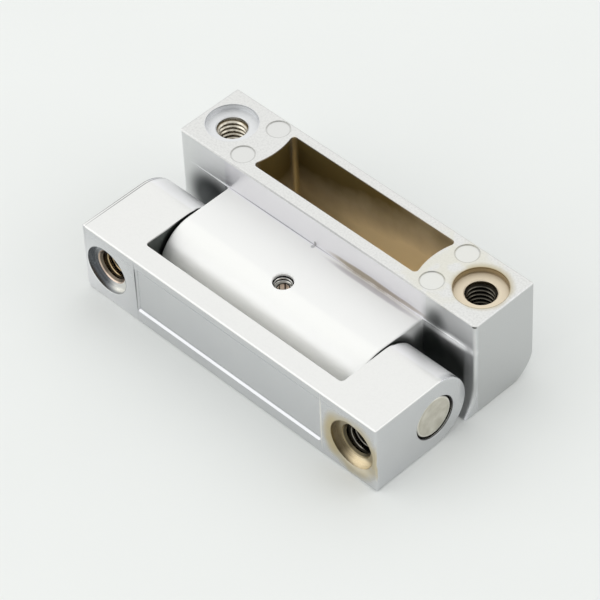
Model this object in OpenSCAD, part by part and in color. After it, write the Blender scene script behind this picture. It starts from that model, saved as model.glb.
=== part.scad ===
// Die-cast cabinet hinge. A fork leaf for the door swings on a steel pin, and a set screw locks
// that pin in the barrel of the rear leaf. The mounting faces of both leaves carry two tapped
// holes each and lie in one plane when the door is closed. All sizes are in millimetres.

/* [Leaves] */
// Length of both leaves along the pin
leaf_len = 75; // [70:1:120]
// Distance from the pin axis to the mounting face of either leaf
face_offset = 14.9; // [14:0.1:18]
// Outside diameter of the fork's ears and of the barrel
knuckle_d = 15.8; // [15:0.1:16.4]
// Drop of the pin axis below the middle of the ears and of the barrel
axis_drop = 0.4; // [0.35:0.05:0.6]
// Rounding of the outer edges of both castings
edge_round = 0.4; // [0.2:0.05:0.6]

/* [Fork leaf] */
// Width of each ear along the pin
ear_w = 12.4; // [11.6:0.1:16]
// Thickness of the bar that joins the ears
bar_t = 4.4; // [3.5:0.1:5]
// Rounding of the two inner corners between bar and ears
slot_corner_r = 0.8; // [0.3:0.1:1.5]
// Width of the rim at the left end, which is left as it came from the mould
rim_w = 0.7; // [0.4:0.1:1.5]
// Depth of that rim below the ground faces
rim_drop = 0.15; // [0.05:0.05:0.3]
// Rounding of the lower edge at that end
foot_round = 1.4; // [0.4:0.1:2]
// Distance from a hole's centre to the end of the sunk panel
panel_inset = 7.8; // [6.5:0.1:12]
// Height of the sunk panel
panel_h = 11; // [8:0.1:12]
// Height of the panel's middle above the middle of the bar
panel_rise = 0.45; // [0:0.05:1]
// Depth of the sunk panel
panel_depth = 0.4; // [0.2:0.05:0.8]
// Width of the slope round the panel's floor
panel_slope = 0.35; // [0.1:0.05:0.6]
// Rounding of the panel's corners
panel_corner_r = 0.6; // [0.3:0.1:1.5]

/* [Rear leaf] */
// Gap between the two leaves when the door is closed
leaf_gap = 2.15; // [2:0.05:3.2]
// Thickness of the rear leaf from front to back
rear_t = 15.2; // [14.5:0.1:20]
// Rounding along the lower back edge
heel_r = 6.6; // [4:0.1:8]
// Rounding of the front edges at both ends, which runs on round the hollow
front_end_round = 0.9; // [0.4:0.1:1.4]
// Drop of the ear hollow's centre below the middle of the ears, which lets the door open flat
hollow_drop = 0.9; // [0.8:0.05:1.2]
// Height of the blunt tip on the lip below the hollow
lip_land = 0.3; // [0.2:0.05:0.6]
// Height of the step that the mould's parting line leaves on the front face beside the barrel
parting_step = 0.2; // [0.1:0.05:0.3]
// Distance from the ends at which that step has faded out
parting_margin = 1.6; // [1:0.1:4]
// Distance from the front face back to the row of holes
row_depth = 7.85; // [7.6:0.05:8.2]
// Distance from a hole's centre to the end of the cored pocket
boss_reach = 11.7; // [10.8:0.1:14]
// Width of the cored pocket
pocket_w = 10.6; // [8:0.1:11]
// Radius of the pocket's end walls, which bulge in around the holes
pocket_end_r = 15; // [10:0.5:25]
// Rounding of the pocket's upright corners
pocket_corner_r = 0.8; // [0.4:0.1:1.5]
// Thickness of metal left under the pocket
pocket_floor = 5; // [4:0.1:7]
// Diameter of the round marks that the ejector pins leave
mark_d = 4.6; // [3:0.1:4.7]
// Depth of those marks
mark_depth = 0.15; // [0.1:0.05:0.3]
// Distance from a hole's centre to a mark, along the leaf
mark_inset = 7.6; // [7.4:0.1:8]
// Distance from the row of holes to a mark, across the leaf
mark_side = 4.6; // [4.4:0.05:4.65]

/* [Tapped holes] */
// Distance from a hole's centre to the leaf's end
hole_inset = 6; // [5.8:0.1:6.6]
// Nominal diameter of the thread
thread_d = 6; // [5:0.5:6.5]
// Width of the bevel at the mouths of the rear leaf's threads
rear_bevel = 0.2; // [0.1:0.05:0.5]
// Width of the bevel at the mouths of the fork leaf's threads
fork_bevel = 0.6; // [0.1:0.05:0.8]
// Diameter of the round seat sunk around each hole
seat_d = 10.2; // [8:0.1:10.8]
// Depth of that seat
seat_depth = 1.2; // [0.5:0.1:2]
// Depth of the rear leaf's holes below its mounting face
rear_hole_depth = 16; // [10:0.5:18]
// Depth of the fork leaf's holes below its mounting face
fork_hole_depth = 8.4; // [6:0.1:8.8]

/* [Pin and set screw] */
// Diameter of the hinge pin
pin_d = 9; // [7:0.1:9.4]
// Depth of the pin's ends below the ears' end faces
pin_recess = 0.35; // [0.1:0.05:1]
// Bevel at the mouths of the pin's bore in the ears
bore_bevel = 0.15; // [0.05:0.05:0.4]
// Bevel on the pin's ends
pin_bevel = 0.4; // [0.2:0.1:1]
// Nominal diameter of the set screw
screw_d = 4; // [3:0.5:5]
// Bevel at the mouth of the set screw's hole
screw_mouth = 0.2; // [0.1:0.05:0.4]
// Depth of the set screw's top below the barrel's flat
screw_recess = 1.8; // [0.8:0.1:2]
// Depth that the set screw's point enters the pin
screw_bite = 1.2; // [0.8:0.1:2]
// Width across the flats of the set screw's socket
socket_af = 2; // [1.5:0.1:2]
// Depth of that socket
socket_depth = 1.2; // [0.8:0.1:1.4]

/* [Fits] */
// Radial play of the pin in the ears
ear_play = 0.05; // [0.02:0.01:0.1]
// Radial play of the pin in the barrel
barrel_play = 0.02; // [0.01:0.01:0.05]
// Gap between the barrel and each ear
side_play = 0.4; // [0.2:0.05:0.8]
// Radial play of the set screw in its hole and at its point
screw_play = 0.03; // [0.02:0.01:0.1]

/* [Hidden] */
$fn = 64;

// Amount by which a cut runs past the face that it opens
past = 1;

knuckle_r = knuckle_d / 2;
half_len = leaf_len / 2;
slot_len = leaf_len - 2 * ear_w;
barrel_len = slot_len - 2 * side_play;
hole_x = half_len - hole_inset;
thread_r = thread_d / 2;
pin_r = pin_d / 2;
screw_r = screw_d / 2;

// Places across the hinge, measured from the pin axis, and heights, measured from the ears' middle
slot_front = -(face_offset - bar_t);
rear_front = knuckle_r + axis_drop + leaf_gap;
rear_back = rear_front + rear_t;
row_y = rear_front + row_depth;
rear_top = face_offset - axis_drop;
lip_y = sqrt(pow(rear_front, 2) - pow(knuckle_r - lip_land - hollow_drop, 2));

// The set screw, from its top to the tip of its point
screw_top = knuckle_r - screw_recess;
screw_shoulder = pin_r - axis_drop + screw_play;
screw_tip = pin_r - axis_drop - screw_bite + screw_play;
point_r = 0.65 * screw_r;
screw_bevel = 0.15 * screw_r;

// The origin is under the middle of the hinge, on the surface that it lies on
pin_y = (face_offset - rear_back) / 2;
middle_z = knuckle_r;

// Rectangle from the origin with its own radius at each corner, anticlockwise from the lower left
module rounded_rect(w, h, r) {
    polygon([
        [r[0], 0], [w - r[1], 0],
        [w, r[1]], [w, h - r[2]],
        [w - r[2], h], [r[3], h],
        [0, h - r[3]], [0, r[0]]
    ]);
    centres = [[r[0], r[0]], [w - r[1], r[1]], [w - r[2], h - r[2]], [r[3], h - r[3]]];
    for (i = [0:3]) {
        if (r[i] > 0) translate(centres[i]) circle(r[i]);
    }
}

// Carries an outline in Y and Z along X, centred on the leaf's middle
module along_x(length) {
    translate([-length / 2, 0, 0]) rotate([90, 0, 90]) linear_extrude(length) children();
}

// Carries an outline in X and Z along Y, from y = from to y = to
module along_y(from, to) {
    translate([0, to, 0]) rotate([90, 0, 0]) linear_extrude(to - from) children();
}

// Carries an outline in X and Y along Z, from z = from to z = to
module along_z(from, to) {
    translate([0, 0, from]) linear_extrude(to - from) children();
}

// Half of a round knuckle, on the back side, with rounded ends
module half_knuckle(from, to, radius, round_left, round_right) {
    rotate([0, 90, 0]) rotate_extrude(angle = 180) translate([0, from])
        rounded_rect(radius, to - from, [0, round_left, round_right, 0]);
}

// Tapped hole with its sunk seat, cut downwards from a mounting face at z = 0
module tapped_hole(depth, bevel) {
    translate([0, 0, -depth]) cylinder(h = depth, r = thread_r);
    translate([0, 0, -seat_depth - bevel]) cylinder(h = bevel, r1 = thread_r, r2 = thread_r + bevel);
    translate([0, 0, -seat_depth]) cylinder(h = seat_depth + past, r = seat_d / 2);
}

// Bore along the pin axis
module pin_bore(length, radius) {
    translate([-length / 2, 0, -axis_drop]) rotate([0, 90, 0]) cylinder(h = length, r = radius);
}

// Widening cone at both outer ends of the ears' bore
module bore_mouths(radius) {
    for (side = [-1, 1]) {
        translate([side * half_len, 0, -axis_drop]) rotate([0, -side * 90, 0])
            cylinder(h = bore_bevel, r1 = radius + bore_bevel, r2 = radius);
    }
}

// Length of the fork's solid from x = from to x = to, square in front of the pin axis and round
// behind it. It lies the given drop below the ground faces and has rounded ends.
module fork_length(from, to, drop, round_left, round_right) {
    height = knuckle_d - 2 * drop;
    depth = face_offset - drop;
    intersection() {
        along_y(-depth, 0) translate([from, -height / 2])
            rounded_rect(to - from, height, [round_left, round_right, round_right, round_left]);
        along_x(leaf_len) translate([-depth, -height / 2])
            rounded_rect(depth, height, [edge_round, 0, 0, edge_round]);
        along_z(-height / 2, height / 2) translate([from, -depth])
            rounded_rect(to - from, depth, [round_left, round_right, 0, 0]);
    }
    half_knuckle(from, to, height / 2, round_left, round_right);
}

// Bar and ears before anything is cut, with the rim and the rounded lower edge of the left end
module fork_blank() {
    intersection() {
        union() {
            fork_length(rim_w - half_len, half_len, 0, 0, edge_round);
            fork_length(-half_len, rim_w + past - half_len, rim_drop, edge_round / 2, 0);
        }
        along_y(-face_offset - past, knuckle_r + past) translate([-half_len, -knuckle_r])
            rounded_rect(leaf_len + past, knuckle_d + past, [foot_round, 0, 0, 0]);
    }
}

// Space of the sunk panel, whose four walls slope down to its floor
module panel_cut() {
    panel_half = hole_x - panel_inset;
    panel_side = panel_h / 2;
    floor_y = panel_depth - face_offset;
    open_y = -face_offset - past;
    widening = past * panel_slope / panel_depth;
    translate([0, 0, panel_rise]) intersection() {
        along_x(2 * panel_half) polygon([
            [floor_y, panel_slope - panel_side], [floor_y, panel_side - panel_slope],
            [open_y, panel_side + widening], [open_y, -panel_side - widening]
        ]);
        along_z(-panel_side, panel_side) polygon([
            [panel_slope - panel_half, floor_y], [panel_half - panel_slope, floor_y],
            [panel_half + widening, open_y], [-panel_half - widening, open_y]
        ]);
        along_y(open_y, floor_y) translate([-panel_half, -panel_side])
            rounded_rect(2 * panel_half, panel_h, [for (i = [0:3]) panel_corner_r]);
    }
}

module fork_casting() {
    difference() {
        fork_blank();
        along_z(-knuckle_r - past, knuckle_r + past) translate([-slot_len / 2, slot_front])
            rounded_rect(slot_len, knuckle_r - slot_front + past, [slot_corner_r, slot_corner_r, 0, 0]);
        pin_bore(leaf_len + 2 * past, pin_r + ear_play);
        bore_mouths(pin_r + ear_play);
        for (side = [-1, 1]) {
            translate([side * hole_x, -face_offset, 0]) rotate([90, 0, 0])
                tapped_hole(fork_hole_depth, fork_bevel);
        }
        panel_cut();
    }
}

// End view of the rear leaf: upright front, round heel, and a foot that reaches forward to the lip
module rear_section() {
    translate([rear_front, -knuckle_r])
        rounded_rect(rear_t, knuckle_r + rear_top, [0, heel_r, edge_round, edge_round]);
    translate([lip_y, -knuckle_r]) square([row_y - lip_y, knuckle_r - hollow_drop]);
}

// Round space for the ears, flared at both ends so that the leaf's edges beside it are rounded
module ear_hollow() {
    translate([0, 0, -hollow_drop]) rotate([0, 90, 0]) rotate_extrude() {
        translate([0, -half_len]) square([rear_front, leaf_len]);
        for (side = [0, 1]) mirror([0, side]) translate([0, half_len - front_end_round]) difference() {
            square([rear_front + front_end_round, front_end_round + past]);
            translate([rear_front + front_end_round, 0]) circle(front_end_round);
        }
    }
}

// Block of the rear leaf: upright above the hollow's centre and hollowed below it
module rear_block() {
    intersection() {
        along_x(leaf_len) rear_section();
        along_y(0, rear_back + past) translate([-half_len, -knuckle_r])
            rounded_rect(leaf_len, knuckle_r + rear_top, [for (i = [0:3]) edge_round]);
        union() {
            along_z(-hollow_drop, rear_top + past) translate([-half_len, rear_front]) rounded_rect(
                leaf_len, rear_t, [front_end_round, front_end_round, edge_round, edge_round]);
            difference() {
                along_z(-knuckle_r - past, -hollow_drop) translate([-half_len, 0])
                    rounded_rect(leaf_len, rear_back, [0, 0, edge_round, edge_round]);
                ear_hollow();
            }
        }
    }
}

// Slight step at the height of the barrel's flat, where two halves of the mould met. It fades out
// downwards and towards both ends.
module parting_ledge() {
    full_x = barrel_len / 2;
    fade_x = half_len - parting_margin;
    end_x = half_len - parting_margin / 2;
    end_y = rear_front + parting_step * (end_x - fade_x) / (fade_x - full_x);
    intersection() {
        along_x(leaf_len) polygon([
            [rear_front - parting_step, knuckle_r], [rear_front, -hollow_drop],
            [row_y, -hollow_drop], [row_y, knuckle_r]
        ]);
        along_z(-hollow_drop, knuckle_r) polygon([
            [-full_x, rear_front - parting_step], [full_x, rear_front - parting_step],
            [end_x, end_y], [end_x, row_y], [-end_x, row_y], [-end_x, end_y]
        ]);
    }
}

// Barrel with a round front and flats that run back into the block
module barrel_blank() {
    rotate([180, 0, 0]) half_knuckle(-barrel_len / 2, barrel_len / 2, knuckle_r, edge_round, edge_round);
    along_y(0, row_y) translate([-barrel_len / 2, -knuckle_r])
        rounded_rect(barrel_len, knuckle_d, [for (i = [0:3]) edge_round]);
}

// Outline of the cored pocket about its middle: two straight walls, and end walls that bulge inwards
module pocket_outline() {
    half = hole_x - boss_reach;
    side = pocket_w / 2;
    boss_x = half + pocket_end_r;
    corner_y = side - pocket_corner_r;
    reach = pocket_end_r + pocket_corner_r;
    corner_x = boss_x - sqrt(pow(reach, 2) - pow(corner_y, 2));
    touch = [boss_x, 0] + pocket_end_r / reach * [corner_x - boss_x, corner_y];
    difference() {
        union() {
            translate([-corner_x, -side]) square([2 * corner_x, pocket_w]);
            for (sx = [-1, 1], sy = [-1, 1]) flip_to(sx, sy) {
                translate([corner_x, corner_y]) circle(pocket_corner_r);
                polygon([[0, 0], [boss_x, 0], touch, [corner_x, corner_y]]);
            }
        }
        for (sx = [-1, 1]) translate([sx * boss_x, 0]) circle(pocket_end_r);
    }
}

// Mirrors its children to the given side of the X and Y axes
module flip_to(sx, sy) {
    mirror([sx < 0 ? 1 : 0, 0]) mirror([0, sy < 0 ? 1 : 0]) children();
}

module rear_casting() {
    difference() {
        union() {
            rear_block();
            parting_ledge();
            barrel_blank();
        }
        pin_bore(barrel_len + 2 * past, pin_r + barrel_play);
        cylinder(h = knuckle_r + past, r = screw_r);
        translate([0, 0, knuckle_r - screw_mouth])
            cylinder(h = screw_mouth, r1 = screw_r, r2 = screw_r + screw_mouth);
        translate([0, row_y, rear_top]) {
            translate([0, 0, pocket_floor - knuckle_r - rear_top])
                linear_extrude(knuckle_r + rear_top - pocket_floor + past) pocket_outline();
            for (sx = [-1, 1]) {
                translate([sx * hole_x, 0, 0]) tapped_hole(rear_hole_depth, rear_bevel);
                for (sy = [-1, 1]) {
                    translate([sx * (hole_x - mark_inset), sy * mark_side, -mark_depth])
                        cylinder(h = mark_depth + past, d = mark_d);
                }
            }
        }
    }
}

// Turned steel pin with bevelled ends and a drilled dimple for the set screw
module pin_body() {
    pin_len = leaf_len - 2 * pin_recess;
    difference() {
        translate([0, 0, -axis_drop]) rotate([0, 90, 0]) rotate_extrude() polygon([
            [0, -pin_len / 2], [pin_r - pin_bevel, -pin_len / 2], [pin_r, -pin_len / 2 + pin_bevel],
            [pin_r, pin_len / 2 - pin_bevel], [pin_r - pin_bevel, pin_len / 2], [0, pin_len / 2]
        ]);
        translate([0, 0, pin_r - axis_drop - screw_bite])
            cylinder(h = screw_bite + past, r = point_r + screw_play);
    }
}

// Set screw with a bevelled top, a hexagon socket and a plain point
module screw_body() {
    body_r = screw_r - screw_play;
    difference() {
        rotate_extrude() polygon([
            [0, screw_tip], [point_r, screw_tip], [point_r, screw_shoulder], [body_r, screw_shoulder],
            [body_r, screw_top - screw_bevel], [body_r - screw_bevel, screw_top], [0, screw_top]
        ]);
        translate([0, 0, screw_top - socket_depth])
            cylinder(h = socket_depth + past, d = socket_af / cos(30), $fn = 6);
    }
}

module in_place() {
    translate([0, pin_y, middle_z]) children();
}

module fork_leaf() {
    color("gainsboro") in_place() fork_casting();
}

module rear_leaf() {
    color("lightgray") in_place() rear_casting();
}

module hinge_pin() {
    color("tan") in_place() pin_body();
}

module set_screw() {
    color("dimgray") in_place() screw_body();
}

fork_leaf();
rear_leaf();
hinge_pin();
set_screw();
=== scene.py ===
import math

import bpy
import numpy as np
from mathutils import Matrix, Vector


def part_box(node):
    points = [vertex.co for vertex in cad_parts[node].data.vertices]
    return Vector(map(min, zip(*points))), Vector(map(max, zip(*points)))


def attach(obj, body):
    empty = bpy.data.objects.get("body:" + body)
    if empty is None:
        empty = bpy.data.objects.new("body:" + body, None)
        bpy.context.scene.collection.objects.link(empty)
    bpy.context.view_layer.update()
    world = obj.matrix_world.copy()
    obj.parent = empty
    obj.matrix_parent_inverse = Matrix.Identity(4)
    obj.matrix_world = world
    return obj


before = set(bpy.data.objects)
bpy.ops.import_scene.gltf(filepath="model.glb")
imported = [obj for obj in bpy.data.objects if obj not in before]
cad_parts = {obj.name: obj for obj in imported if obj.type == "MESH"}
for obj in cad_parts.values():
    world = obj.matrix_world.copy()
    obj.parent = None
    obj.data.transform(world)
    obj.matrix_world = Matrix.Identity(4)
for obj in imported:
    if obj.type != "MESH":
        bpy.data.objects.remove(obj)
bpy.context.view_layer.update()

# Rear leaf: one zinc die casting with a cored pocket, four ejector marks and the barrel for the pin.
# It is polished where it shows, satin chromed all over, and its tapped holes are cut after plating.
MM = 0.001


def linear(hex_colour):
    """The sRGB colour #RRGGBB as linear red, green and blue, with an alpha of one."""
    parts = np.array([int(hex_colour[i:i + 2], 16) for i in (1, 3, 5)]) / 255
    return (*np.where(parts <= 0.04045, parts / 12.92, ((parts + 0.055) / 1.055) ** 2.4).tolist(), 1.0)


def add(tree, kind, inputs=None, **settings):
    """One shader node of the kind named. Its settings are set, and each input gets a value or a link."""
    node = tree.nodes.new("ShaderNode" + kind)
    for key, value in settings.items():
        setattr(node, key, value)
    for key, value in (inputs or {}).items():
        if isinstance(value, bpy.types.NodeSocket):
            tree.links.new(value, node.inputs[key])
        else:
            node.inputs[key].default_value = value
    return node


def new_material(name):
    """An empty node material. Returns it, its node tree and the place on the piece, in metres."""
    material = bpy.data.materials.new(name)
    material.use_nodes = True
    tree = material.node_tree
    tree.nodes.clear()
    return material, tree, add(tree, "TexCoord").outputs["Object"]


def patch(tree, place, centre, reach, soft, boxed=False):
    """1 within an ellipsoid of half-axes reach round centre and 0 beyond, in millimetres: the length of
    (place - centre) / reach, turned round over the share soft of the reach. A box takes the largest of the three
    parts instead of the length. A reach of 0 leaves that axis out."""
    away = add(tree, "VectorMath", {0: place, 1: [c * MM for c in centre]}, operation="SUBTRACT")
    share = [1 / (r * MM) if r else 0 for r in reach]
    scaled = add(tree, "VectorMath", {0: away.outputs[0], 1: share}, operation="MULTIPLY")
    if boxed:
        size = add(tree, "VectorMath", {0: scaled.outputs[0]}, operation="ABSOLUTE")
        part = add(tree, "SeparateXYZ", {0: size.outputs[0]}).outputs
        wider = add(tree, "Math", {0: part[0], 1: part[1]}, operation="MAXIMUM").outputs[0]
        length = add(tree, "Math", {0: wider, 1: part[2]}, operation="MAXIMUM").outputs[0]
    else:
        length = add(tree, "VectorMath", {0: scaled.outputs[0]}, operation="LENGTH").outputs["Value"]
    return add(tree, "MapRange", {0: length, 1: 1 - soft, 2: 1 + soft, 3: 1.0, 4: 0.0},
               interpolation_type="SMOOTHSTEP").outputs[0]


def satin_chrome(name, finishes_and_painted_shade, stains_and_painted_light, pocket=None):
    """Satin chrome on die-cast zinc: a pale neutral metal whose soft reflections pool along the rounds, with the
    cast skin's fine orange peel under it and slow clouds of thicker and thinner polish. Finishes are boxes given as
    (centre, reach, soft, hex colour, roughness, peel, mottle) where the metal is blasted or left as cast, and a few
    that are painted dark as shade. Stains are patches of colour given as (centre, reach, soft, hex colour, strength,
    roughness, stray), laid one over another, whose outlines stray by that many millimetres; besides real stains they
    include painted shade, highlights and reflections. A pocket is a box of brown oxide given as (centre, reach, light
    hex colour, dark hex colour, roughness), darkest at its left end and under its rim, which is partly painted shade."""
    material, tree, place = new_material(name)
    cloud_size, skin_size, skin_depth = 6 * MM, 0.4 * MM, 0.03 * MM
    cloud = add(tree, "TexNoise", {"Vector": place, "Scale": 1 / cloud_size, "Detail": 3.0})
    skin = add(tree, "TexNoise", {"Vector": place, "Scale": 1 / skin_size, "Detail": 2.0})
    shift = add(tree, "VectorMath", {0: cloud.outputs["Color"], 1: (0.5, 0.5, 0.5)}, operation="SUBTRACT")
    colour = add(tree, "Mix", {0: cloud.outputs["Fac"], 6: linear("#D1D2D4"), 7: linear("#D8D9DA")},
                 data_type="RGBA").outputs[2]
    rough, peel = 0.27, 0.0
    fleck_from, fleck_to = 0.42, 0.68
    for centre, reach, soft, tint, dull, grain, mottle in finishes_and_painted_shade:
        within = patch(tree, place, centre, reach, soft, boxed=True)
        fleck = add(tree, "MapRange", {0: skin.outputs["Fac"], 1: fleck_from, 2: fleck_to, 3: 1.0,
                                       4: 1 - mottle}).outputs[0]
        cast = add(tree, "VectorMath", {0: linear(tint)[:3], "Scale": fleck}, operation="SCALE").outputs[0]
        colour = add(tree, "Mix", {0: within, 6: colour, 7: cast}, data_type="RGBA").outputs[2]
        rough = add(tree, "Mix", {0: within, 2: rough, 3: dull}).outputs[0]
        peel = add(tree, "Mix", {0: within, 2: peel, 3: grain}).outputs[0]
    if pocket:
        centre, reach, tint, dark, dull = pocket
        left, right, rim, deep = -reach[0] * MM, 0.68 * reach[0] * MM, 21 * MM, 10 * MM
        along_share, down_share, cloud_share, darkest, lightest = 0.92, 1.2, 0.4, 0.83, 1.83
        within = patch(tree, place, centre, reach, 0.02, boxed=True)
        x, _, z = add(tree, "SeparateXYZ", {0: place}).outputs
        # The brown oxide grows darker toward the left end and up under the rim: painted shade over its real colour
        along = add(tree, "MapRange", {0: x, 1: left, 2: right, 4: along_share}).outputs[0]
        down = add(tree, "MapRange", {0: z, 1: rim, 2: deep, 4: down_share}).outputs[0]
        both = add(tree, "Math", {0: along, 1: down}, operation="ADD").outputs[0]
        blotch = add(tree, "Math", {0: cloud.outputs["Fac"], 1: cloud_share, 2: both}, operation="MULTIPLY_ADD")
        shade = add(tree, "MapRange", {0: blotch.outputs[0], 1: darkest, 2: lightest}).outputs[0]
        brown = add(tree, "Mix", {0: shade, 6: linear(dark), 7: linear(tint)}, data_type="RGBA").outputs[2]
        colour = add(tree, "Mix", {0: within, 6: colour, 7: brown}, data_type="RGBA").outputs[2]
        rough = add(tree, "Mix", {0: within, 2: rough, 3: dull}).outputs[0]
    for centre, reach, soft, tint, strength, dull, stray in stains_and_painted_light:
        # The cloud swings by about a quarter either way, so four times the stray moves an outline by the stray
        wander = add(tree, "VectorMath", {0: shift.outputs[0], "Scale": 4 * stray * MM}, operation="SCALE")
        ragged = add(tree, "VectorMath", {0: place, 1: wander.outputs[0]}, operation="ADD").outputs[0]
        spot = patch(tree, ragged, centre, reach, soft)
        grade = add(tree, "Math", {0: spot, 1: strength}, operation="MULTIPLY").outputs[0]
        colour = add(tree, "Mix", {0: grade, 6: colour, 7: linear(tint)}, data_type="RGBA").outputs[2]
        rough = add(tree, "Mix", {0: grade, 2: rough, 3: dull}).outputs[0]
    bump = add(tree, "Bump", {"Height": skin.outputs["Fac"], "Strength": peel, "Distance": skin_depth})
    shader = add(tree, "BsdfPrincipled", {"Base Color": colour, "Metallic": 1.0, "Roughness": rough,
                                          "Normal": bump.outputs[0]})
    add(tree, "OutputMaterial", {0: shader.outputs[0]})
    return material


def finish_node(node, material):
    """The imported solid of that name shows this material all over."""
    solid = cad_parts[node].data
    solid.materials.clear()
    solid.materials.append(material)


# Millimetres: ends and top, tapped holes and their round seats, barrel, shoulders beside it, corner between barrel and
# block, and ejector marks
rear_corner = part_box("rear_leaf")[1]
END_X, REAR_TOP = rear_corner[0] / MM, rear_corner[2] / MM
HOLE_X, REAR_ROW_Y, SEAT_DEPTH, SEAT_REACH = 31.5, 12.925, 1.2, 5.2
THREAD_R, THREAD_PITCH, REAR_BEVEL, BORE_REACH = 3.0, 1.0, 0.2, 3.15
BARREL_X, PIN_Y, SHOULDER_X = 24.7, -5.375, 31.4
SEAM_Y, SEAM_Z = 5.075, 15.8
MARK_X, MARK_SIDE, MARK_R, MARK_LINE = 23.9, 4.6, 2.3, 0.08

rear_finishes = [
    # The barrel is blasted to a silky matt, smoother low at its front
    ((0.0, -4.6, 7.9), (BARREL_X + 0.2, 9.6, 8.0), 0.02, "#F8F8F6", 0.85, 0.03, 0.0),
    ((0.0, -14.0, 7.9), (60.0, 4.0, 20.0), 0.4, "#EFEFED", 0.52, 0.03, 0.0),
    # The band above it is buffed, the shoulders beside it and the right end are duller
    ((0.0, 5.2, 19.2), (25.2, 0.5, 3.4), 0.07, "#E6E5E8", 0.35, 0.02, 0.0),
    ((SHOULDER_X, 6.0, 11.0), (5.9, 1.6, 10.9), 0.02, "#D8D9D9", 0.45, 0.0, 0.0),
    ((-SHOULDER_X, 6.0, 11.0), (5.9, 1.6, 10.9), 0.02, "#E0E1E1", 0.4, 0.0, 0.0),
    ((END_X, REAR_ROW_Y, 10.9), (0.35, 7.2, 11.3), 0.02, "#CACBCB", 0.35, 0.0, 0.0),
    # The mounting face keeps the mould's grain
    ((0.0, REAR_ROW_Y, REAR_TOP), (END_X + 0.1, 8.0, 0.35), 0.02, "#DDDDDA", 0.42, 0.4, 0.1),
]
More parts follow.
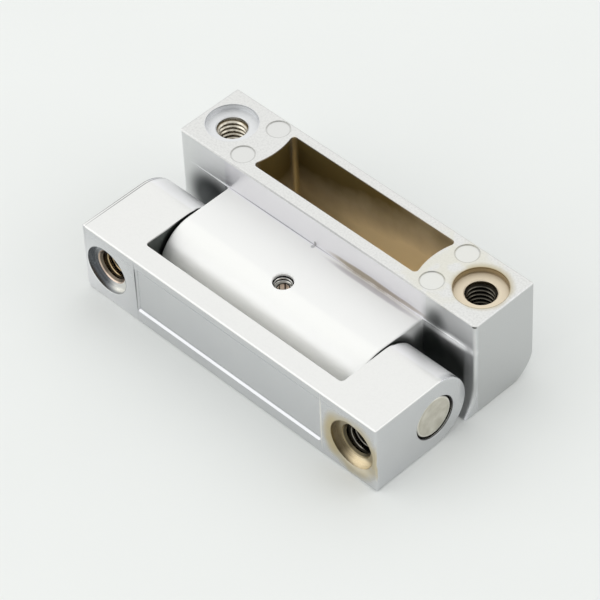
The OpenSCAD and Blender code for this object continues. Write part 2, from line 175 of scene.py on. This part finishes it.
rear_stains_and_painted_light = [
    # Painted shade in the hollows beside the barrel
    ((30.5, 4.5, 7.5), (5.6, 4.5, 6.0), 0.4, "#525654", 0.9, 0.4, 0.1),
    ((26.9, 4.5, 9.5), (3.0, 4.5, 5.0), 0.3, "#5E6462", 0.85, 0.4, 0.1),
    ((-29.5, 4.5, 9.5), (5.5, 4.5, 5.2), 0.4, "#3A3E40", 0.9, 0.35, 0.1),
    # Painted highlight along the parting ledge over the right hollow, painted shade above it, and painted highlights
    # at the hollow's outer edge and down the end's front edge
    ((31.8, SEAM_Y, 15.5), (6.4, 0.8, 0.9), 0.6, "#FFFFFF", 0.9, 0.85, 0.0),
    ((27.6, SEAM_Y, 17.4), (2.2, 0.6, 2.4), 0.7, "#787A7A", 0.75, 0.4, 0.2),
    ((35.8, 4.0, 7.5), (1.2, 3.0, 9.5), 0.3, "#E4E5E5", 0.8, 0.5, 0.0),
    ((37.15, SEAM_Y + 0.15, 14.5), (0.28, 0.5, 7.4), 0.25, "#E6E6E6", 0.7, 0.3, 0.0),
    # End faces of the barrel, painted dark as shade like the hollows
    ((BARREL_X + 0.2, -6.0, 8.0), (0.4, 10.6, 11.0), 0.06, "#4A4E4C", 0.85, 0.45, 0.0),
    ((-BARREL_X - 0.2, -6.0, 8.0), (0.4, 10.6, 11.0), 0.06, "#4A4E4C", 0.85, 0.45, 0.0),
    # Painted shade in the corner between barrel and block, and a darker line along the block's upper front edge
    ((-11.3, SEAM_Y - 0.05, SEAM_Z), (13.4, 0.1, 0.1), 0.5, "#77797B", 0.55, 0.5, 0.0),
    ((0.0, SEAM_Y, REAR_TOP), (36.5, 0.2, 0.22), 0.5, "#78787B", 0.8, 0.5, 0.0),
    # Scar of the moulding gate along that corner: brown above it, grey below it, and a knock at its left
    ((10.5, SEAM_Y, SEAM_Z + 0.7), (8.2, 0.5, 0.75), 0.4, "#A59A84", 0.85, 0.5, 0.2),
    ((19.0, SEAM_Y, SEAM_Z + 0.7), (6.0, 0.5, 0.6), 0.4, "#AEA498", 0.75, 0.5, 0.2),
    ((13.0, SEAM_Y - 1.0, SEAM_Z), (10.0, 0.55, 0.3), 0.4, "#B8B5BA", 0.62, 0.5, 0.1),
    ((-2.3, SEAM_Y - 0.5, SEAM_Z), (0.35, 0.4, 0.3), 0.4, "#8D8D90", 0.5, 0.5, 0.05),
    ((-2.2, SEAM_Y, SEAM_Z + 0.5), (0.3, 0.3, 0.45), 0.4, "#7D7A76", 0.6, 0.5, 0.05),
    # Yellowed plating round the pocket's right end
    ((24.0, REAR_ROW_Y, REAR_TOP), (9.0, 9.0, 0.4), 0.4, "#D8D5C4", 0.5, 0.42, 0.8),
    # Right seat: a brown breath round it, a tan wall and a cream floor
    ((HOLE_X, REAR_ROW_Y + 0.3, REAR_TOP), (5.7, 5.6, 0.4), 0.12, "#B6AA88", 0.65, 0.45, 0.2),
    ((HOLE_X, REAR_ROW_Y, REAR_TOP - 0.6), (SEAT_REACH, SEAT_REACH, 6.0), 0.03, "#937F57", 0.9, 0.4, 0.0),
    ((HOLE_X, REAR_ROW_Y, REAR_TOP - SEAT_DEPTH), (4.95, 4.95, 0.3), 0.05, "#E8DDC8", 0.95, 0.65, 0.0),
    # Left seat: clean plating, a little greyer on the wall
    ((-HOLE_X, REAR_ROW_Y, REAR_TOP - 0.6), (SEAT_REACH, SEAT_REACH, 6.0), 0.03, "#D6D7D8", 0.9, 0.25, 0.0),
    ((-HOLE_X, REAR_ROW_Y, REAR_TOP - SEAT_DEPTH), (4.95, 4.95, 0.3), 0.05, "#E3E4E4", 0.95, 0.6, 0.0),
    # Small knock on the right front corner
    ((37.05, SEAM_Y + 0.1, REAR_TOP - 0.4), (0.5, 0.5, 0.22), 0.3, "#4C4A46", 0.9, 0.5, 0.1),
    # A darker band just under each seat's rim, brown at the right
    ((HOLE_X, REAR_ROW_Y, REAR_TOP - 0.22), (5.35, 5.35, 0.2), 0.1, "#4E3F26", 0.8, 0.5, 0.0),
    ((-HOLE_X, REAR_ROW_Y, REAR_TOP - 0.22), (5.35, 5.35, 0.18), 0.1, "#77797C", 0.7, 0.5, 0.0),
    # Bright corner at the pocket's left, and the dark bore of the set screw
    ((-20.0, 17.8, 12.0), (0.5, 0.6, 12.0), 0.5, "#DCCB9F", 0.8, 0.45, 0.0),
    ((0.0, PIN_Y, SEAM_Z - 2.0), (2.1, 2.1, 4.0), 0.03, "#2C2B28", 0.95, 0.3, 0.0),
    # Bores behind the threads
    ((HOLE_X, REAR_ROW_Y, 12.5), (BORE_REACH, BORE_REACH, 9.2), 0.03, "#3E3A2E", 0.95, 0.3, 0.0),
    ((-HOLE_X, REAR_ROW_Y, 12.5), (BORE_REACH, BORE_REACH, 9.2), 0.03, "#5E5038", 0.95, 0.3, 0.0),
]
for side_x, burnished in ((-1, "#DCDCD9"), (1, "#DFDFDA")):
    for side_y in (-1, 1):
        # Fine dark line round each ejector mark, and the mark itself burnished, more so at the right
        spot = (side_x * MARK_X, REAR_ROW_Y + side_y * MARK_SIDE, REAR_TOP)
        outer, inner = MARK_R + MARK_LINE, MARK_R - MARK_LINE
        rear_stains_and_painted_light.append((spot, (outer, outer, 0.4), 0.03, "#8A8A84", 0.45, 0.5, 0.0))
        rear_stains_and_painted_light.append((spot, (inner, inner, 0.5), 0.03, burnished, 0.92, 0.42, 0.0))
rear_pocket = ((0.0, REAR_ROW_Y, 12.6), (20.6, 5.45, 9.6), "#F5EAD2", "#7A6A40", 0.7)
finish_node("rear_leaf", satin_chrome("satin_chrome_on_rear_casting", rear_finishes, rear_stains_and_painted_light, rear_pocket))

# Threads of the rear leaf's two mounting holes: tapped M6 x 1 into the plated casting, so the cut metal
# shows brassy where the copper strike lies under the chrome.
REAR_TURNS = 12


def thread_ridge(name, mouth, down, root_r, pitch, turns, bevel):
    """The ridge that a tap leaves: a 60-degree trapezoid carried down a helix, right-handed about down. At turn
    angle t the section stands pitch * t / 2 pi deep, its foot sunk a little in the bore's wall and its crest
    0.54 pitch nearer the axis, never past the mouth's 45-degree bevel, and it dies away at both ends."""
    sink, height = 0.06 * pitch, 0.5413 * pitch
    turn_steps, run_out, thinnest, crisp = 72, 1.6, 0.08, math.radians(40)
    t = np.linspace(0, 2 * np.pi * turns, turn_steps * turns + 1)[:, None]
    along = np.array([-0.47, -0.17, -0.11, 0.11, 0.17, 0.47]) * pitch
    shape = np.array([0.0, 0.93, 1.0, 1.0, 0.93, 0.0])
    fade = np.clip(np.minimum(t, t[-1] - t) / run_out, thinnest, 1)
    depth = bevel + 0.5 * pitch + pitch * t / (2 * np.pi) + along
    radius = root_r + sink - (height + sink) * shape * fade
    radius = np.maximum(radius, np.minimum(root_r + bevel - depth, root_r + sink))
    down = np.array(down, float)
    first = np.array([1.0, 0.0, 0.0])
    second = np.cross(down, first)
    ring = radius[..., None] * (np.cos(t)[..., None] * first + np.sin(t)[..., None] * second)
    points = (np.array(mouth) + ring + depth[..., None] * down) * MM
    steps, corners = depth.shape
    here = np.arange(steps - 1)[:, None] * corners + np.arange(corners)
    beside = np.arange(steps - 1)[:, None] * corners + (np.arange(corners) + 1) % corners
    quads = np.stack([here, here + corners, beside + corners, beside], axis=-1).reshape(-1, 4)
    ends = [list(range(corners)), list(range(steps * corners - 1, (steps - 1) * corners - 1, -1))]
    mesh = bpy.data.meshes.new(name)
    mesh.from_pydata(points.reshape(-1, 3).tolist(), [], quads.tolist() + ends)
    mesh.polygons.foreach_set("use_smooth", np.ones(len(mesh.polygons), bool))
    mesh.set_sharp_from_angle(angle=crisp)
    piece = bpy.data.objects.new(name, mesh)
    bpy.context.scene.collection.objects.link(piece)
    return piece


def cut_thread(name, bright, dark, axis, reach):
    """Freshly tapped zinc with the copper strike showing through: bright and brassy along the crests, which lie
    within that reach of the hole's axis, dark with oil in the roots, and with the tap's chatter on the flanks. The
    crests' brightness is partly painted highlight, and the roots' darkness partly painted shade."""
    material, tree, place = new_material(name)
    oil_size, chatter_size, chatter_depth = 1.5 * MM, 0.12 * MM, 0.02 * MM
    oil = add(tree, "TexNoise", {"Vector": place, "Scale": 1 / oil_size, "Detail": 2.0})
    chatter = add(tree, "TexNoise", {"Vector": place, "Scale": 1 / chatter_size, "Detail": 1.0})
    wiped = add(tree, "MapRange", {0: oil.outputs["Fac"], 1: 0.3, 2: 0.6, 3: 0.4}).outputs[0]
    # Crests painted bright, partly as highlight, and roots dark, partly as shade
    crest = patch(tree, place, axis, reach, 0.04)
    share = add(tree, "Math", {0: wiped, 1: crest}, operation="MULTIPLY").outputs[0]
    colour = add(tree, "Mix", {0: share, 6: linear(dark), 7: linear(bright)}, data_type="RGBA").outputs[2]
    bump = add(tree, "Bump", {"Height": chatter.outputs["Fac"], "Strength": 0.2, "Distance": chatter_depth})
    shader = add(tree, "BsdfPrincipled", {"Base Color": colour, "Metallic": 1.0, "Roughness": 0.26,
                                          "Normal": bump.outputs[0]})
    add(tree, "OutputMaterial", {0: shader.outputs[0]})
    return material


for side, hand, wear, bright, dark, crest in ((-1, "left", "wiped", "#EDE6D6", "#5A4C30", 2.82),
                                              (1, "right", "oily", "#6E6A60", "#1F1C17", 2.62)):
    ridge = thread_ridge("rear_thread_" + hand, (side * HOLE_X, REAR_ROW_Y, REAR_TOP - SEAT_DEPTH), (0, 0, -1),
                         THREAD_R, THREAD_PITCH, REAR_TURNS, REAR_BEVEL)
    ridge.data.materials.append(cut_thread("tapped_zinc_" + wear, bright, dark, (side * HOLE_X, REAR_ROW_Y, 0),
                                           (crest, crest, 0)))
    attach(ridge, "rear")

# Hinge pin: a plain turned steel bar through both ears and the barrel, its ends faced off and left bare.
# The set screw locks it in the barrel, and the fork leaf turns on it.
PIN_Z, PIN_FACE_R, PIN_RIM_R = 7.5, 3.9, 4.2


def turned_steel(name):
    """Bare turned steel: a warm pale satin with the facing tool's rings, drawn 1 mm apart so that they show, a
    brighter rim and a near-black ring of painted shade on the bevel round each end. A wave of scale 1 / s has its
    rings 0.314 s apart."""
    material, tree, place = new_material(name)
    centred = add(tree, "Mapping", {"Vector": place, "Location": (0, -PIN_Y * MM, -PIN_Z * MM)})
    ring_size, bloom_size, ring_depth = 3.2 * MM, 2.5 * MM, 0.02 * MM
    rings = add(tree, "TexWave", {"Vector": centred.outputs[0], "Scale": 1 / ring_size, "Distortion": 1.2,
                                  "Detail": 2.0, "Detail Scale": 0.8},
                wave_type="RINGS", rings_direction="X")
    bloom = add(tree, "TexNoise", {"Vector": place, "Scale": 1 / bloom_size, "Detail": 3.0})
    tone = add(tree, "MapRange", {0: bloom.outputs["Fac"], 1: 0.35, 2: 0.65}).outputs[0]
    colour = add(tree, "Mix", {0: tone, 6: linear("#CBC6B8"), 7: linear("#E2DED2")}, data_type="RGBA").outputs[2]
    # Past the face a brighter rim, and past that a near-black ring of painted shade on the bevel
    for reach, tint in ((PIN_FACE_R, "#EAE7DC"), (PIN_RIM_R, "#1E1810")):
        face = patch(tree, place, (0.0, PIN_Y, PIN_Z), (0.0, reach, reach), 0.015)
        colour = add(tree, "Mix", {0: face, 6: linear(tint), 7: colour}, data_type="RGBA").outputs[2]
    rough = add(tree, "MapRange", {0: rings.outputs["Fac"], 3: 0.30, 4: 0.38}).outputs[0]
    bump = add(tree, "Bump", {"Height": rings.outputs["Fac"], "Strength": 0.15, "Distance": ring_depth})
    shader = add(tree, "BsdfPrincipled", {"Base Color": colour, "Metallic": 1.0, "Roughness": rough,
                                          "Normal": bump.outputs[0]})
    add(tree, "OutputMaterial", {0: shader.outputs[0]})
    return material


finish_node("hinge_pin", turned_steel("turned_bare_steel"))

# Fork leaf: the second zinc casting, a bar with two ears. It is satin chromed like the rear leaf, and its
# front has a bare sunk panel between the two tapped holes.
FORK_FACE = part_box("fork_leaf")[0][1] / MM
FORK_TOP, FORK_ROW_Z, FORK_BEVEL, RIM_X = 15.8, 7.9, 0.6, -36.8
BAR_THICK, EAR_X, PANEL_X, PANEL_MID_Z, PANEL_TOP = 4.4, 25.0, 24.0, 8.35, 13.9

fork_finishes_and_painted_shade = [
    # Grinding leaves the top a little duller than the front, and the ears' round backs are duller still
    ((0.0, -10.0, FORK_TOP), (38.0, 11.0, 0.3), 0.02, "#E2E2DF", 0.3, 0.02, 0.02),
    ((0.0, 0.0, 11.0), (36.6, 4.0, 4.6), 0.02, "#EEEEEE", 0.55, 0.0, 0.0),
    # The bar's inner face keeps a pale, matt cast skin
    ((0.0, FORK_FACE + BAR_THICK, 7.7), (24.6, 0.3, 7.9), 0.02, "#F8F8F6", 0.85, 0.0, 0.0),
    # Inner faces of the ears, painted dark as shade in the narrow gaps beside the barrel
    ((-EAR_X, -7.0, 7.4), (0.3, 9.2, 8.1), 0.02, "#5C605E", 0.4, 0.0, 0.0),
    ((EAR_X, -7.0, 7.4), (0.3, 9.2, 8.1), 0.02, "#5C605E", 0.4, 0.0, 0.0),
]
fork_stains_and_painted_light = [
    # Painted shade in the step at the left end's rim, and a painted dark reflection along the rim's outer edge
    ((RIM_X - 0.03, -7.0, 15.0), (0.15, 15.0, 9.0), 0.4, "#6C6C6A", 0.8, 0.5, 0.0),
    ((-END_X - 0.05, -7.0, 15.0), (0.3, 15.0, 9.0), 0.3, "#6E6F6E", 0.85, 0.5, 0.0),
    # Painted shade along the panel's left end and upper edge, and a painted highlight along its right end
    ((-PANEL_X + 0.32, FORK_FACE + 0.2, PANEL_MID_Z), (0.11, 0.6, 6.5), 0.3, "#4E5052", 0.85, 0.4, 0.0),
    ((PANEL_X, FORK_FACE, PANEL_MID_Z), (0.22, 0.3, 5.8), 0.3, "#F2F0EA", 0.85, 0.4, 0.0),
    ((0.0, FORK_FACE, PANEL_TOP), (25.0, 0.4, 0.14), 0.5, "#9A9C9E", 0.4, 0.4, 0.0),
    # Backs of the ears painted darker as a reflection of the dark hollows, and painted light on the left end of the
    # front
    ((SHOULDER_X, 2.2, 9.5), (6.3, 1.4, 4.5), 0.6, "#888A8C", 0.9, 0.35, 0.0),
    ((-SHOULDER_X, 2.2, 9.5), (6.3, 1.4, 4.5), 0.6, "#A0A1A3", 0.75, 0.35, 0.0),
    ((-33.0, FORK_FACE, 4.0), (9.0, 0.5, 8.0), 0.6, "#F0F0F2", 0.75, 0.3, 0.0),
    # Painted shade in the gap round the pin's right end
    ((END_X, PIN_Y, PIN_Z), (0.9, 4.66, 4.66), 0.015, "#120D07", 0.97, 0.4, 0.0),
    # Plating gone gold round the right hole, deepest at the left, and a brown seat with a painted highlight
    # on its lower wall
    ((HOLE_X + 0.2, FORK_FACE, FORK_ROW_Z - 0.5), (6.9, 0.45, 6.8), 0.2, "#C8BA96", 0.8, 0.3, 0.4),
    ((HOLE_X - 4.8, FORK_FACE, FORK_ROW_Z - 0.8), (1.8, 0.35, 4.6), 0.4, "#C9B88C", 0.6, 0.3, 0.2),
    ((HOLE_X, FORK_FACE + 0.6, FORK_ROW_Z), (SEAT_REACH, 6.0, SEAT_REACH), 0.03, "#96896C", 0.9, 0.35, 0.0),
    ((HOLE_X + 1.0, FORK_FACE + 0.6, FORK_ROW_Z - 4.4), (3.4, 1.6, 1.6), 0.4, "#F2E8D2", 0.9, 0.35, 0.1),
    # Left seat: darker, with painted highlights on its lower rim and its lower right, and the cutter's rings
    ((-HOLE_X - 0.2, FORK_FACE, FORK_ROW_Z - 0.3), (5.25, 0.3, 5.25), 0.02, "#FAFAFA", 0.9, 0.3, 0.0),
    ((-HOLE_X, FORK_FACE + 0.6, FORK_ROW_Z), (SEAT_REACH, 6.0, SEAT_REACH), 0.03, "#84878A", 0.9, 0.25, 0.0),
    ((-HOLE_X, FORK_FACE + SEAT_DEPTH, FORK_ROW_Z), (4.6, 0.4, 4.6), 0.03, "#B4B6B8", 0.9, 0.25, 0.0),
    ((-HOLE_X, FORK_FACE + SEAT_DEPTH, FORK_ROW_Z), (4.2, 0.4, 4.2), 0.03, "#8C8E90", 0.9, 0.25, 0.0),
    ((-HOLE_X + 2.4, FORK_FACE + 1.2, FORK_ROW_Z - 3.6), (3.2, 0.75, 2.4), 0.45, "#FBFAF5", 0.95, 0.4, 0.0),
    # Cut mouths of the threads, and the bores behind them
    ((-HOLE_X, FORK_FACE + 1.5, FORK_ROW_Z), (3.65, 3.0, 3.65), 0.02, "#D9C3B0", 0.9, 0.25, 0.0),
    ((-HOLE_X, FORK_FACE + 1.5, FORK_ROW_Z), (3.4, 3.0, 3.4), 0.02, "#5A5346", 0.9, 0.25, 0.0),
    ((HOLE_X, FORK_FACE + 1.5, FORK_ROW_Z), (3.65, 3.0, 3.65), 0.02, "#8F8264", 0.9, 0.25, 0.0),
    ((HOLE_X, FORK_FACE + 1.5, FORK_ROW_Z), (3.4, 3.0, 3.4), 0.02, "#4A4436", 0.9, 0.25, 0.0),
    ((HOLE_X, -14.6, FORK_ROW_Z), (BORE_REACH, 4.2, BORE_REACH), 0.03, "#3E3A2E", 0.95, 0.3, 0.0),
    ((-HOLE_X, -14.6, FORK_ROW_Z), (BORE_REACH, 4.2, BORE_REACH), 0.03, "#3E3A2E", 0.95, 0.3, 0.0),
]
finish_node("fork_leaf", satin_chrome("satin_chrome_on_fork_casting", fork_finishes_and_painted_shade, fork_stains_and_painted_light))

# Threads of the fork leaf's two holes: the same M6 tapping as in the rear leaf, but shorter, cut from the front
# face. The cut metal has browned at the left and gone grey with grime at the right.
FORK_TURNS = 5
for side, hand, wear, bright, dark, crest in ((-1, "left", "browned", "#C9B38C", "#2A2318", 2.62),
                                              (1, "right", "grimy", "#9A968C", "#1E1B15", 2.6)):
    ridge = thread_ridge("fork_thread_" + hand, (side * HOLE_X, FORK_FACE + SEAT_DEPTH, FORK_ROW_Z), (0, 1, 0),
                         THREAD_R, THREAD_PITCH, FORK_TURNS, FORK_BEVEL)
    ridge.data.materials.append(cut_thread("tapped_zinc_" + wear, bright, dark, (side * HOLE_X, 0, FORK_ROW_Z),
                                           (crest, 0, crest)))
    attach(ridge, "fork")

# Set screw: a short M4 hexagon-socket screw of stainless steel that locks the pin. It is sunk below the barrel's
# flat, in a hole tapped through the casting, whose thread shows above it.
SCREW_R, SCREW_PITCH, SCREW_BEVEL, SCREW_TURNS, SCREW_CREST_R = 2.0, 0.7, 0.2, 2, 1.71
SOCKET_R, SCREW_TOP_R = 1.08, 1.32


def oiled_steel(name):
    """Stainless steel stained brown with handling: a bright worn bevel, a dark oily top and a bare broached socket,
    split by the distance from the screw's axis."""
    material, tree, place = new_material(name)
    wear_size, wear_depth = 0.8 * MM, 0.03 * MM
    wear = add(tree, "TexNoise", {"Vector": place, "Scale": 1 / wear_size, "Detail": 3.0})
    tone = add(tree, "MapRange", {0: wear.outputs["Fac"], 1: 0.35, 2: 0.7}).outputs[0]
    colour = add(tree, "Mix", {0: tone, 6: linear("#E8DCD0"), 7: linear("#FBF2E8")}, data_type="RGBA").outputs[2]
    for reach, tint in ((SOCKET_R, "#3A352E"), (SCREW_TOP_R, "#E6E4DE")):
        core = patch(tree, place, (0.0, PIN_Y, 0.0), (reach, reach, 0.0), 0.04)
        colour = add(tree, "Mix", {0: core, 6: linear(tint), 7: colour}, data_type="RGBA").outputs[2]
    bump = add(tree, "Bump", {"Height": wear.outputs["Fac"], "Strength": 0.2, "Distance": wear_depth})
    shader = add(tree, "BsdfPrincipled", {"Base Color": colour, "Metallic": 1.0, "Roughness": 0.35,
                                          "Normal": bump.outputs[0]})
    add(tree, "OutputMaterial", {0: shader.outputs[0]})
    return material


finish_node("set_screw", oiled_steel("browned_steel_screw"))
bright_zinc = cut_thread("tapped_zinc_bright", "#F6F5F0", "#161513", (0, PIN_Y, 0), (SCREW_CREST_R, SCREW_CREST_R, 0))
screw_thread = thread_ridge("screw_hole_thread", (0, PIN_Y, SEAM_Z), (0, 0, -1), SCREW_R, SCREW_PITCH, SCREW_TURNS,
                            SCREW_BEVEL)
screw_thread.data.materials.append(bright_zinc)
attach(screw_thread, "rear")

# Table and light: a pale matt sheet under the hinge, a broad softbox overhead, two lower ones at the right back
# and the left front, and a fill from the pale room, so that upper faces go nearly white and the shadow stays soft.
FLOOR_HALF = 3.0


def table_sheet(name, half):
    """A flat square of the given half-width, as a grid of two by two points at height zero."""
    u, v = np.meshgrid((-half, half), (-half, half))
    mesh = bpy.data.meshes.new(name)
    mesh.from_pydata(np.stack([u, v, 0 * u], axis=-1).reshape(-1, 3).tolist(), [], [(0, 1, 3, 2)])
    sheet = bpy.data.objects.new(name, mesh)
    bpy.context.scene.collection.objects.link(sheet)
    return sheet


def matt_card(name):
    """Matt white card without gloss. Its tooth is too fine to show, so it is drawn as faint clouds 40 mm wide."""
    material, tree, place = new_material(name)
    tooth_size = 40 * MM
    tooth = add(tree, "TexNoise", {"Vector": place, "Scale": 1 / tooth_size})
    colour = add(tree, "Mix", {0: tooth.outputs["Fac"], 6: linear("#E6E8E5"), 7: linear("#E9EBE8")},
                 data_type="RGBA").outputs[2]
    shader = add(tree, "BsdfPrincipled", {"Base Color": colour, "Roughness": 0.9, "Specular IOR Level": 0.1})
    add(tree, "OutputMaterial", {0: shader.outputs[0]})
    return material


floor = table_sheet("floor", FLOOR_HALF)
floor.data.materials.append(matt_card("matt_white_card"))

for name, place, width, height, glow in (("overhead_softbox", (-0.5, 0.45, 1.1), 2.4, 2.4, 0.4),
                                         ("right_softbox", (0.9, 0.62, 0.65), 1.2, 0.8, 0.7),
                                         ("front_softbox", (-0.65, -1.05, 0.75), 2.0, 1.4, 0.7)):
    softbox = bpy.data.lights.new(name, "AREA")
    softbox.shape = "RECTANGLE"
    softbox.size, softbox.size_y = width, height
    softbox.energy = glow * math.pi * width * height  # watts for an even glow over the whole panel
    lamp = bpy.data.objects.new(name, softbox)
    lamp.location = place
    lamp.rotation_euler = (-Vector(place)).to_track_quat("-Z", "Y").to_euler()
    bpy.context.scene.collection.objects.link(lamp)

room = bpy.data.worlds.new("room")
room.use_nodes = True
room.node_tree.nodes["Background"].inputs[0].default_value = linear("#F2F3F4")
room.node_tree.nodes["Background"].inputs[1].default_value = 0.84
bpy.context.scene.world = room

# Camera: a long lens above the right front corner, turned a little clockwise. Its place, aim and focal length come
# from a least-squares fit of the hinge's corners to the picture.
eye, aim = Vector((0.315377, -0.295204, 0.449319)), Vector((0.002146, -0.003453, 0.011))
focal, sensor, roll = 203.34, 36.0, math.radians(-2.881)
lens = bpy.data.cameras.new("camera")
lens.lens, lens.sensor_width = focal, sensor
camera = bpy.data.objects.new("camera", lens)
look = (aim - eye).to_track_quat("-Z", "Y").to_matrix().to_4x4()
camera.matrix_world = Matrix.Translation(eye) @ look @ Matrix.Rotation(roll, 4, "Z")
bpy.context.scene.collection.objects.link(camera)
bpy.context.scene.camera = camera
bpy.context.scene.view_settings.view_transform = "Standard"
